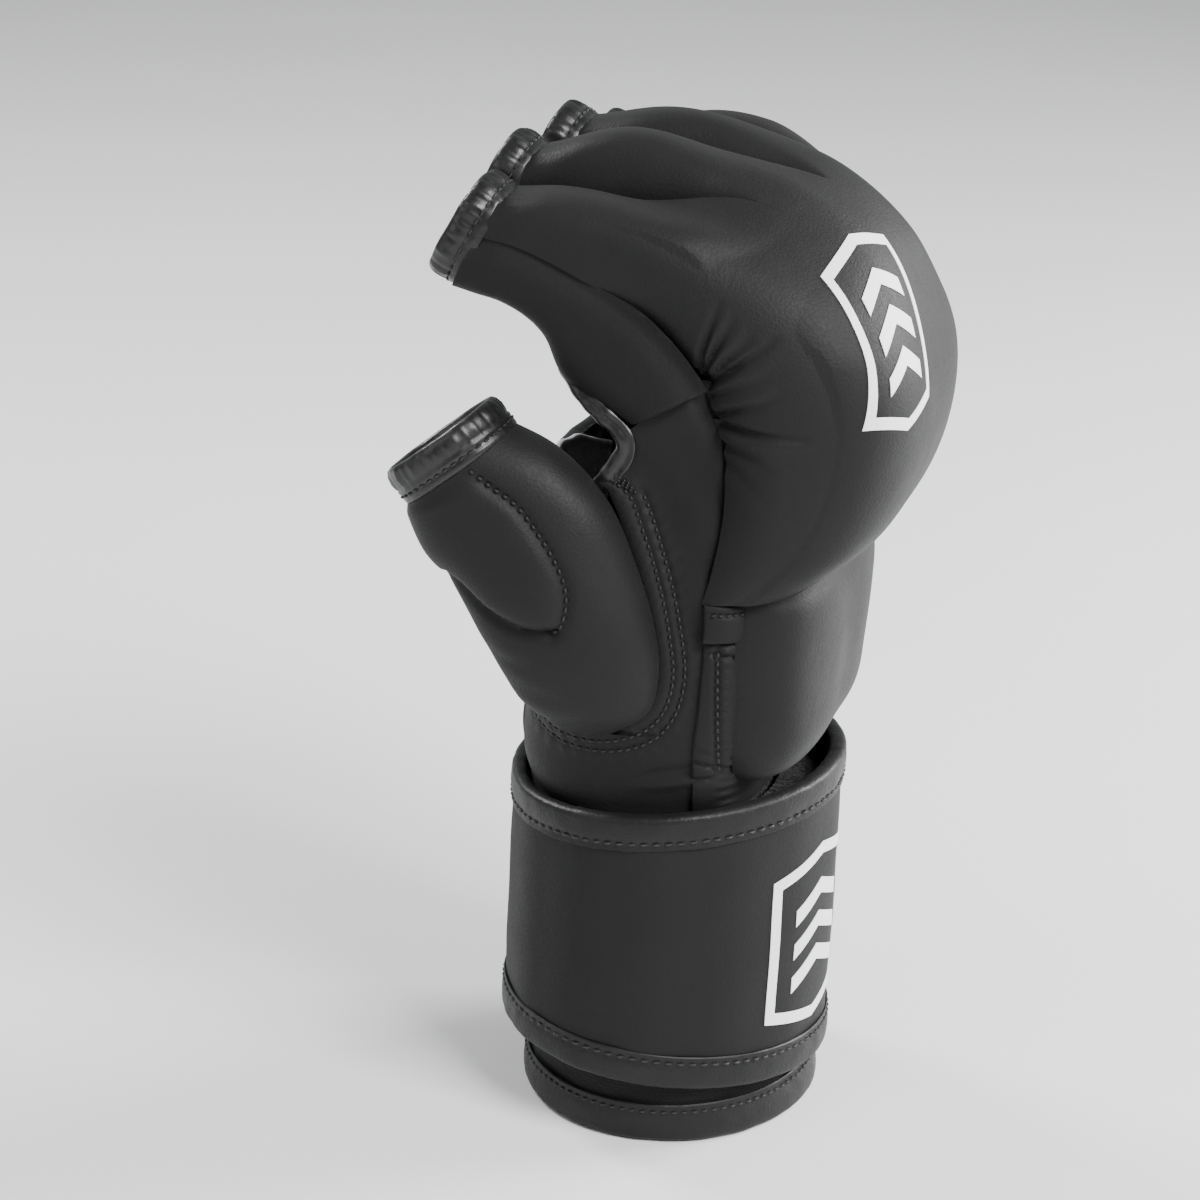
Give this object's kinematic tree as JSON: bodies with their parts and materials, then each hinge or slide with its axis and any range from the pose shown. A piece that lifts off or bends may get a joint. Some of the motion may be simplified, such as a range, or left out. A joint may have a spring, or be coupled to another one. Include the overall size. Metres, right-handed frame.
{
  "type": "mma glove",
  "caption": "Right-hand padded grappling glove standing on its cuff: open-ended curled fingers, knuckle loaf pad, hinged thumb stall, wrist pad and wraparound hook-and-loop strap.",
  "frame": {"origin": "centre of the lower face of the glove's box, in the plane of the cuff's flat hem; the cuff's own centre is 3.2 mm towards +X and 8.4 mm towards +Y of it", "axes": "+Z from the cuff's hem towards the fingers, +X out of the back of the hand, -X out of the palm, -Y towards the thumb, +Y towards the little finger"},
  "size_m": [0.127, 0.1196, 0.261],
  "materials": {
    "pad_leather": "matte fine-grained synthetic leather",
    "panel_leather": "matte synthetic leather, thinner",
    "matte_binding": "stitched synthetic leather tape, low sheen",
    "shiny_binding": "creased tape with a satin shine",
    "foam": "closed-cell foam",
    "neoprene": "cloth-faced neoprene",
    "stretch_fabric": "soft elastic knit",
    "hook_and_loop": "hook and loop tape",
    "white_print": "heat-pressed white print",
    "label_fabric": "plain woven label"
  },
  "bodies": {
    "cuff": {"wrist_sleeve": "neoprene", "sleeve_lining": "stretch_fabric", "cuff_hem_binding": "matte_binding", "wrist_gusset": "stretch_fabric", "strap_band": "pad_leather", "strap_upper_binding": "matte_binding", "strap_lower_binding": "matte_binding", "loop_patch": "hook_and_loop", "strap_emblem": "white_print"},
    "strap_flap": {"strap_flap": "pad_leather", "flap_binding": "matte_binding", "hook_patch": "hook_and_loop"},
    "hand": {"palm_panel": "panel_leather", "palm_hem_binding": "shiny_binding", "care_label": "label_fabric", "radial_side_panel": "panel_leather", "ulnar_side_panel": "panel_leather", "back_panel": "panel_leather", "knuckle_pad_cover": "pad_leather", "knuckle_pad_foam": "foam", "wrist_pad_cover": "pad_leather", "wrist_pad_foam": "foam", "pad_tab_radial": "panel_leather", "pad_tab_ulnar": "panel_leather", "thumb_base_panel": "pad_leather", "thumb_web_panel": "panel_leather", "knuckle_emblem": "white_print"},
    "thumb": {"thumb_gusset": "stretch_fabric", "thumb_outer_panel": "pad_leather", "thumb_inner_panel": "panel_leather", "thumb_pad_foam": "foam", "thumb_end_binding": "shiny_binding"},
    "index": {"index_pad_cover": "pad_leather", "index_pad_foam": "foam", "index_knuckle_wedge": "foam", "index_sleeve": "panel_leather", "index_end_binding": "shiny_binding"},
    "middle": {"middle_pad_cover": "pad_leather", "middle_pad_foam": "foam", "middle_knuckle_wedge": "foam", "middle_sleeve": "panel_leather", "middle_end_binding": "shiny_binding"},
    "ring": {"ring_pad_cover": "pad_leather", "ring_pad_foam": "foam", "ring_knuckle_wedge": "foam", "ring_sleeve": "panel_leather", "ring_end_binding": "shiny_binding"},
    "little": {"little_pad_cover": "pad_leather", "little_pad_foam": "foam", "little_knuckle_wedge": "foam", "little_sleeve": "panel_leather", "little_end_binding": "shiny_binding"}
  },
  "joints": [
    {"name": "wrist_flex", "type": "hinge", "parent": "cuff", "child": "hand", "pos_m": [0.00582, 0.00836, 0.092], "axis": [0, 1, 0], "range_deg": [-9, 6], "stiffness_Nm_per_rad": 6, "deforming": ["wrist_gusset"]},
    {"name": "strap_open", "type": "hinge", "parent": "cuff", "child": "strap_flap", "pos_m": [-0.02578, -0.03057, 0.05], "axis": [0, 0, 1], "range_deg": [0, 92], "stiffness_Nm_per_rad": 0.02},
    {"name": "thumb_bend", "type": "hinge", "parent": "hand", "child": "thumb", "pos_m": [-0.03118, -0.04364, 0.166], "axis": [0.7794, 0, 0.6266], "range_deg": [-12, 20], "stiffness_Nm_per_rad": 0.25, "deforming": ["thumb_gusset"]},
    {"name": "index_curl", "type": "hinge", "parent": "hand", "child": "index", "pos_m": [0.01132, -0.02903, 0.2075], "axis": [0, -1, 0], "range_deg": [-20, 12], "stiffness_Nm_per_rad": 0.3, "deforming": ["index_knuckle_wedge"]},
    {"name": "middle_curl", "type": "hinge", "parent": "hand", "child": "middle", "pos_m": [0.01382, -0.00413, 0.209], "axis": [0, -1, 0], "range_deg": [-20, 12], "stiffness_Nm_per_rad": 0.3, "deforming": ["middle_knuckle_wedge"]},
    {"name": "ring_curl", "type": "hinge", "parent": "hand", "child": "ring", "pos_m": [0.01382, 0.02087, 0.209], "axis": [0, -1, 0], "range_deg": [-20, 12], "stiffness_Nm_per_rad": 0.3, "deforming": ["ring_knuckle_wedge"]},
    {"name": "little_curl", "type": "hinge", "parent": "hand", "child": "little", "pos_m": [0.01182, 0.04516, 0.207], "axis": [0, -1, 0], "range_deg": [-20, 12], "stiffness_Nm_per_rad": 0.3, "deforming": ["little_knuckle_wedge"]}
  ]
}
